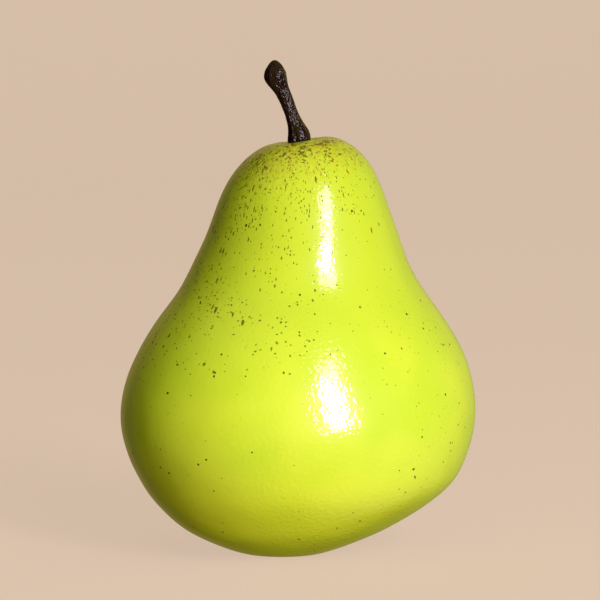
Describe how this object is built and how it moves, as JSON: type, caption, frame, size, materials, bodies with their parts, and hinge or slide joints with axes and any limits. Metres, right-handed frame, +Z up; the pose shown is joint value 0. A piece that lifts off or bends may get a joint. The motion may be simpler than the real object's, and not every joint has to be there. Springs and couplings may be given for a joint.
{
  "type": "pear",
  "caption": "Plump green pear with a broad belly, a short sloping neck and a bent woody stalk, standing on a small flat foot.",
  "frame": {"origin": "middle of the underside of the object's box, on the surface that the pear rests on", "axes": "+Z up along the fruit's core, towards the stalk; +X to the pear's right as seen from its front, away from the side that the stalk leans to; -Y is the front"},
  "size_m": [0.095, 0.0946, 0.1318],
  "materials": {
    "skin": "glossy lime-green skin with reddish-brown specks, dense at the crown",
    "bark": "nearly black, wrinkled and slightly glossy",
    "dried_calyx": "dry, brown and matt"
  },
  "bodies": {
    "root": {"fruit": "skin", "stem": "bark", "calyx_cup": "dried_calyx", "stamen_tuft": "dried_calyx", "sepal_1": "dried_calyx", "sepal_2": "dried_calyx", "sepal_3": "dried_calyx", "sepal_4": "dried_calyx", "sepal_5": "dried_calyx"}
  },
  "joints": []
}
